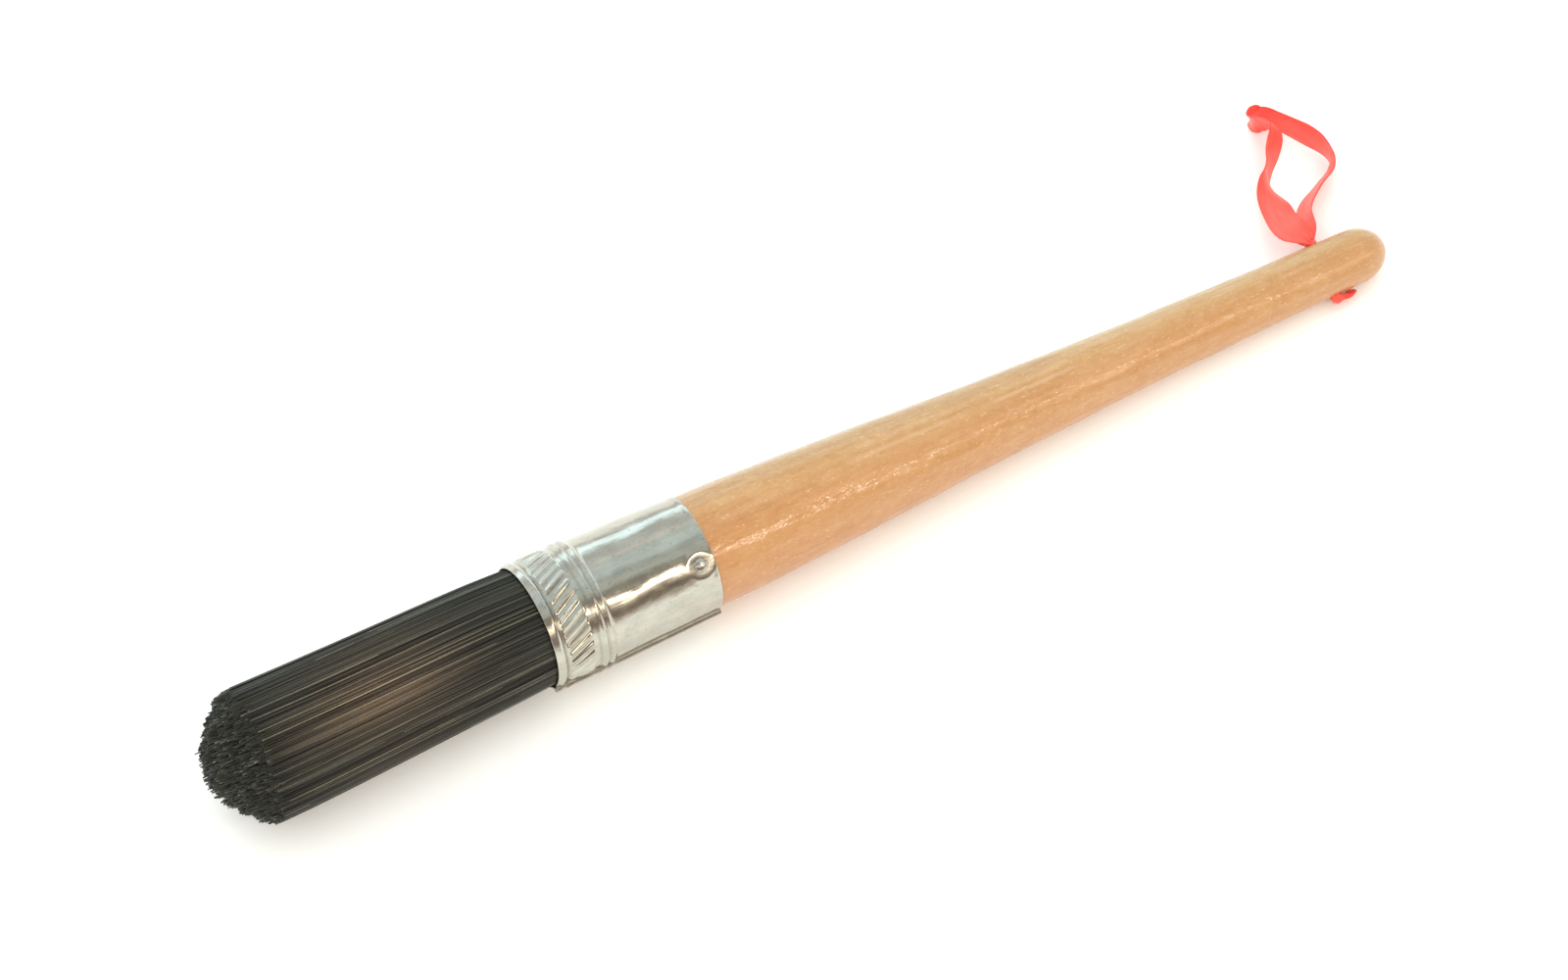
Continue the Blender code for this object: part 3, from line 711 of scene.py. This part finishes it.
# Where the tinplate is darker and rougher: the groove beside the seam fold, the fold's far edge and crown, the groove
# behind the rim and the valleys by the second bead.
seam_and_groove_darkening = 1.0 * np.exp(-(((seam_off + 1.48) / 0.38) ** 2)) + 0.30 * np.exp(-(((seam_off - 1.40) / 0.30) ** 2))
seam_and_groove_darkening = seam_and_groove_darkening + 0.20 * np.exp(-(((seam_off - 0.3) / 0.95) ** 4))
seam_and_groove_darkening = seam_and_groove_darkening + 0.30 * np.exp(-(((S2 + 38.45) / 0.32) ** 2)) + 0.22 * np.exp(-(((S2 + 28.28) / 0.25) ** 2)) + 0.20 * np.exp(-(((S2 + 30.45) / 0.35) ** 2))
attribute(ferrule, "seam_and_groove_darkening", np.clip(seam_and_groove_darkening, 0.0, 1.0).reshape(-1))
ferrule.matrix_world = AXIS_FRAME
bm = bmesh.new()
bm.from_mesh(ferrule.data)
bmesh.ops.recalc_face_normals(bm, faces=bm.faces)
bm.to_mesh(ferrule.data)
bm.free()
settle(ferrule)
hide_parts("ferrule_shell")
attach(ferrule, "brush")


def nail(name, phi, node):
    """A domed nail head seated in its dish, slightly dented."""
    prof = [(0.02, 0.62), (0.35, 0.61), (0.7, 0.56), (1.0, 0.48), (1.3, 0.35), (1.52, 0.19), (1.66, 0.02), (1.72, -0.12), (1.66, -0.24), (1.2, -0.28), (0.8, -0.3), (0.8, -5.0), (0.3, -6.6)]
    n = 48
    t = np.arange(n) * 2 * math.pi / n
    pts = []
    for k, (pr, pz) in enumerate(prof):
        wob = 1.0 + 0.025 * np.sin(3 * t + 0.8) + 0.015 * np.sin(5 * t)
        dent = -0.06 * np.exp(-(((pr * np.cos(t) - 0.5) / 0.5) ** 2) - ((pr * np.sin(t) - 0.3) / 0.4) ** 2) if pz > 0.2 else 0.0
        pts.append(np.stack([pr * wob * np.cos(t), pr * wob * np.sin(t), np.full(n, pz) + dent], -1))
    pts = np.array(pts).reshape(-1, 3)
    faces = [tuple(f) for f in ring_grid(len(prof), n)] + [tuple(range(n - 1, -1, -1)), tuple(range((len(prof) - 1) * n, len(prof) * n))]
    o = mesh_object(name, pts * MM, faces, [NAIL])
    bm = bmesh.new()
    bm.from_mesh(o.data)
    bmesh.ops.recalc_face_normals(bm, faces=bm.faces)
    bm.to_mesh(o.data)
    bm.free()
    o.data.set_sharp_from_angle(angle=math.radians(50))
    z = Vector((0.0, math.cos(math.radians(phi)), math.sin(math.radians(phi))))
    x = Vector((1.0, 0.0, 0.0))
    seat = 13.49 - 0.36 + 0.30
    m = Matrix((x, z.cross(x), z)).transposed().to_4x4()
    m.translation = (Vector((PIN_S, 0.0, 0.0)) + z * seat) * MM
    o.matrix_world = AXIS_FRAME @ m
    settle(o)
    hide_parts(node)
    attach(o, "brush")


nail("nail_near", PIN_PHI, "ferrule_pin_near")
nail("nail_far", PIN_PHI + 180.0, "ferrule_pin_far")

# ---- bristle ----
rng = np.random.default_rng(7)
PROFILE_S = np.array([s for s, _ in BRISTLE_STATIONS][::-1] + [-44.0, -41.0, -36.0])
PROFILE_R = np.array([r for _, r in BRISTLE_STATIONS][::-1] + [13.78, 13.58, 13.35])


def bundle_r(s):
    return np.interp(s, PROFILE_S, PROFILE_R)


def trim_s(rho):
    """Where a filament at this share of the bundle's radius is trimmed."""
    return -107.4 - 10.7 * np.clip(1.0 - rho**2, 0.0, 1.0)


def lean(s):
    """The free bristles' slow drift off the brush's axis, as vectors in the row frame."""
    k = smoothstep((-41.0 - np.asarray(s, float)) / 62.0)
    return k[..., None] * 0.95 * (-math.cos(math.radians(30.0)) * SIDE - math.sin(math.radians(30.0)) * UP)


tuft_rng = np.random.default_rng(23)
TUFT_R, TUFT_PHI = np.sqrt(tuft_rng.random(760)), tuft_rng.random(760) * 2 * math.pi
TUFTS = np.stack([TUFT_R * np.cos(TUFT_PHI), TUFT_R * np.sin(TUFT_PHI)], -1)
TUFT_TRIM, TUFT_TONE = tuft_rng.normal(0.0, 0.55, 760), tuft_rng.normal(0.0, 0.13, 760)


def tuft_of(rho, phi):
    """The small clump each filament belongs to."""
    a = np.radians(phi)
    p = np.stack([rho * np.cos(a), rho * np.sin(a)], -1)
    return np.argmin(((p[:, None, :] - TUFTS[None, :, :]) ** 2).sum(-1), axis=1)


def filaments(name, rho, phi0, start, ends, radius, sides, segs, spread, seed, light=None):
    """One mesh of many round filaments that run from start to their own trimmed ends."""
    g = np.random.default_rng(seed)
    n = len(rho)
    t = np.linspace(0.0, 1.0, segs + 1)
    s = start[:, None] + (ends - start)[:, None] * t[None, :]
    free = np.clip((-41.0 - s) / 70.0, 0.0, 1.2)
    drift = g.normal(0, spread, n)[:, None] * free + g.normal(0, spread * 0.5, n)[:, None] * np.sin(free * math.pi * 1.5 + g.uniform(0, 6.28, n)[:, None])
    wave = g.normal(0, 0.06, n)[:, None] * np.sin(free * 5.0 + g.uniform(0, 6.28, n)[:, None]) * free
    r = rho[:, None] * bundle_r(s) + wave
    r = np.minimum(r, np.where(s > -41.6, 13.55, 99.0))
    phi = phi0[:, None] + drift / np.maximum(rho[:, None], 0.25)
    p = place(s, r, phi) + lean(s)
    tan = np.gradient(p, axis=1)
    tan /= np.linalg.norm(tan, axis=2)[..., None]
    o = out_dir(phi)
    o = o - tan * np.sum(o * tan, axis=2)[..., None]
    o /= np.linalg.norm(o, axis=2)[..., None]
    w = np.cross(tan, o)
    a = np.arange(sides) * 2 * math.pi / sides
    rad = radius[:, None, None] * np.ones((1, segs + 1, 1))
    ring = p[:, :, None, :] + rad[..., None] * (np.cos(a)[None, None, :, None] * w[:, :, None, :] + np.sin(a)[None, None, :, None] * o[:, :, None, :])
    verts = ring.reshape(-1, 3)
    per = (segs + 1) * sides
    quad = ring_grid(segs + 1, sides)
    faces = (quad[None] + (np.arange(n) * per)[:, None, None]).reshape(-1, 4)
    caps = (np.arange(sides)[None, :] + segs * sides) + (np.arange(n) * per)[:, None]
    me = bpy.data.meshes.new(name)
    nq, nc = len(faces), len(caps)
    me.vertices.add(len(verts))
    me.vertices.foreach_set("co", (verts * MM).astype(np.float32).ravel())
    loops = np.concatenate([faces.ravel(), caps.ravel()])
    me.loops.add(len(loops))
    me.loops.foreach_set("vertex_index", loops.astype(np.int32))
    me.polygons.add(nq + nc)
    starts = np.concatenate([np.arange(nq) * 4, nq * 4 + np.arange(nc) * sides])
    me.polygons.foreach_set("loop_start", starts.astype(np.int32))
    me.polygons.foreach_set("material_index", np.concatenate([np.zeros(nq), np.ones(nc)]).astype(np.int32))
    me.update(calc_edges=True)
    me.validate()
    me.polygons.foreach_set("use_smooth", np.concatenate([np.ones(nq, bool), np.zeros(nc, bool)]))
    me.materials.append(BRISTLE)
    me.materials.append(BRISTLE_CUT)
    obj = bpy.data.objects.new(name, me)
    bpy.context.scene.collection.objects.link(obj)
    base = np.clip(0.86 * g.beta(1.6, 3.2, n) + TUFT_TONE[tuft_of(rho, phi0)], 0.0, 0.82)
    if light is not None:
        base = np.where(light, g.uniform(0.80, 1.0, n), base)
    tone = base[:, None] + 0.06 * np.sin(s / 6.0 + g.uniform(0, 6.28, n)[:, None])
    attribute(obj, "tone", np.repeat(np.clip(tone, 0, 1).reshape(-1), sides))
    # Painted sheen: a warm brown highlight band round mid-length, strongest on the upper near side at phi 118, faint
    # all round, on the outermost filaments only.
    zone = np.exp(-(((s + 80.0) / 17.0) ** 2)) * (0.16 + 0.84 * np.exp(-((gap_angle(phi, 118.0) / 24.0) ** 2)))
    warm = zone * (0.55 + 0.45 * g.random(n)[:, None]) * smoothstep((rho[:, None] - 0.9) / 0.06)
    attribute(obj, "warm", np.repeat(np.clip(warm, 0, 1).reshape(-1), sides))
    return obj


N_OUT = 2350
rho = 0.985 - 0.090 * rng.random(N_OUT) ** 1.15
rho[:24] = 0.986 + 0.014 * rng.random(24)
phi0 = (np.arange(N_OUT) * 360.0 * 0.6180339887) % 360.0 + rng.normal(0, 0.8, N_OUT)
ends = trim_s(np.clip(rho, 0, 1)) + TUFT_TRIM[tuft_of(rho, phi0)] + rng.normal(0, 0.38, N_OUT)
long_ones = rng.random(N_OUT) < 0.02
ends = np.where(long_ones, ends - rng.uniform(0.6, 1.8, N_OUT), ends)
ends = np.clip(ends, TIP_S, TIP_EDGE_S + 3.0)
light = (rng.random(N_OUT) < 0.13) & (rho > 0.945)
radius = np.where(light, rng.uniform(0.165, 0.19, N_OUT), rng.uniform(0.13, 0.18, N_OUT))
outer = filaments("bristle_filaments_outer", rho, phi0, np.full(N_OUT, -36.5), ends, radius, 4, 10, 0.9, 11, light)

N_IN = 5200
rho = np.sqrt(rng.random(N_IN)) * 0.925
phi0 = rng.random(N_IN) * 360.0
ends = trim_s(rho) + TUFT_TRIM[tuft_of(rho, phi0)] + rng.normal(0, 0.38, N_IN)
ends = np.maximum(ends, TIP_S - 0.6)
light = rng.random(N_IN) < 0.09
inner_f = filaments("bristle_filaments_tip", rho, phi0, ends + rng.uniform(11.0, 14.0, N_IN), ends, rng.uniform(0.13, 0.19, N_IN), 4, 3, 0.5, 12, light)

# The solid pack just under the outer filaments, coloured as painted shade of the bundle's depths.
core_rows = [(0.2, -34.0), (13.0, -34.2)] + [(float(bundle_r(x)) - (0.55 if x > -43 else 1.25), x) for x in np.linspace(-37.0, -105.0, 36)]
core_rows += [((TIP_EDGE_R - 1.25) * math.cos(t), -105.0 - 8.9 * math.sin(t) ** 2 - 0.4 * math.sin(t)) for t in np.linspace(0.12, 1.5, 16)]
core_rows = np.array(core_rows)
cols = 72
phi = np.arange(cols) * 360.0 / cols
pts = (place(core_rows[:, 1][:, None], core_rows[:, 0][:, None], phi[None, :]) + lean(core_rows[:, 1])[:, None, :]).reshape(-1, 3)
faces = [tuple(f) for f in ring_grid(len(core_rows), cols)] + [tuple(range(cols - 1, -1, -1)), tuple(range((len(core_rows) - 1) * cols, len(core_rows) * cols))]
core = mesh_object("bristle_pack_depth", pts * MM, faces, [CORE])

bend_from = tuple(float(c) * MM for c in place(-41.0, 0.0, 0.0))
bend_to = tuple(float(c) * MM for c in place(-103.0, 0.0, 0.0))
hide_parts("bristle_bundle")
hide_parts("bristle_root")
for o in (outer, inner_f, core):
    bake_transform(o)

# ---- carried-over CAD node ----
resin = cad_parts["bristle_set_resin"]
for k in range(len(resin.material_slots)):
    resin.material_slots[k].material = RESIN

# ---- floor, light and sky ----
floor = mesh_object("floor", [(-6, -6, -0.00012), (6, -6, -0.00012), (6, 6, -0.00012), (-6, 6, -0.00012)], [(0, 1, 2, 3)], [], smooth=False)
fm = Mat("pale_floor")
fm.set(Base_Color=fm.mix(fm.noise(fm.coords(), 3.0, 2.0, 0.5), (0.90, 0.90, 0.895), (0.92, 0.92, 0.915)), Roughness=0.95, Specular_IOR_Level=0.1, Emission_Color=(1.0, 0.985, 0.95, 1.0), Emission_Strength=0.16)
floor.data.materials.append(fm.m)


def area(name, location, target, size, power, colour=(1.0, 1.0, 1.0), glossy=False):
    light = bpy.data.lights.new(name, "AREA")
    light.shape, light.size, light.size_y = "RECTANGLE", size[0], size[1]
    light.energy, light.color = power, colour
    o = bpy.data.objects.new(name, light)
    o.location = location
    o.rotation_euler = (Vector(target) - Vector(location)).to_track_quat("-Z", "Y").to_euler()
    o.visible_glossy = glossy
    bpy.context.scene.collection.objects.link(o)
    return o


area("key_softbox", (-0.25, -0.35, 1.5), (0.0, 0.0, 0.0), (2.1, 1.9), 15.0, (1.0, 0.985, 0.96))
area("fill_softbox", (0.35, 1.1, 1.1), (0.0, 0.0, 0.0), (1.8, 1.2), 5.0, (0.90, 1.0, 1.0))

world = bpy.data.worlds.new("studio")
bpy.context.scene.world = world
world.use_nodes = True
wt = world.node_tree
wt.nodes.clear()
w_out = wt.nodes.new("ShaderNodeOutputWorld")
w_bg = wt.nodes.new("ShaderNodeBackground")
w_co = wt.nodes.new("ShaderNodeTexCoord")
w_sep = wt.nodes.new("ShaderNodeSeparateXYZ")
w_ang = wt.nodes.new("ShaderNodeMath")
w_ang.operation = "ARCTAN2"
w_div = wt.nodes.new("ShaderNodeMath")
w_div.operation = "DIVIDE"
w_div.inputs[1].default_value = math.pi
w_ramp = wt.nodes.new("ShaderNodeValToRGB")
wt.links.new(w_co.outputs["Generated"], w_sep.inputs[0])
wt.links.new(w_sep.outputs["Z"], w_ang.inputs[0])
wt.links.new(w_sep.outputs["Y"], w_ang.inputs[1])
wt.links.new(w_ang.outputs[0], w_div.inputs[0])
wt.links.new(w_div.outputs[0], w_ramp.inputs["Fac"])
SKY = (  # angle over the table from +Y (0) through overhead (90) to -Y (180), and the colour there
    (0, (0.93, 0.96, 0.93)),
    (10, (0.84, 0.84, 0.84)),
    (14, (1.52, 1.80, 1.90)),
    (20, (1.68, 2.06, 2.24)),
    (27, (1.44, 1.80, 1.96)),
    (33, (0.80, 0.84, 0.82)),
    (50, (0.80, 0.86, 0.85)),
    (54, (0.86, 0.95, 0.95)),
    (58.5, (1.10, 0.98, 0.94)),
    (62, (0.84, 0.94, 0.92)),
    (88, (0.85, 0.99, 1.02)),
    (95, (0.62, 0.68, 0.66)),
    (104, (0.66, 0.72, 0.68)),
    (113, (0.74, 0.76, 0.70)),
    (119, (0.40, 0.40, 0.36)),
    (130, (0.42, 0.38, 0.32)),
    (134, (1.00, 0.88, 0.72)),
    (138, (3.00, 2.70, 2.20)),
    (143, (2.60, 2.30, 1.86)),
    (147, (1.00, 0.86, 0.70)),
    (152, (0.56, 0.47, 0.38)),
    (158, (0.33, 0.27, 0.22)),
    (166, (0.33, 0.27, 0.22)),
    (172, (0.78, 0.69, 0.60)),
    (180, (0.98, 0.88, 0.78)),
)
e = w_ramp.color_ramp.elements
while len(e) > 1:
    e.remove(e[-1])
e[0].position, e[0].color = 0.0, (*SKY[0][1], 1.0)
for deg, col in SKY[1:]:
    x = e.new(deg / 180.0)
    x.color = (*col, 1.0)
wt.links.new(w_ramp.outputs["Color"], w_bg.inputs["Color"])
w_bg.inputs["Strength"].default_value = 1.0
wt.links.new(w_bg.outputs[0], w_out.inputs[0])

# a small warm lamp low over the near side, seen as the flash along the tinplate and the lacquer
lamp_dir = Vector((0.36, -0.69, 0.64)).normalized()
area("warm_lamp", tuple(lamp_dir * 1.6), (0.0, 0.0, 0.0), (0.26, 0.07), 1.80, (1.0, 0.90, 0.76), glossy=True)

bpy.context.scene.view_settings.view_transform = "Standard"

bpy.context.view_layer.update()
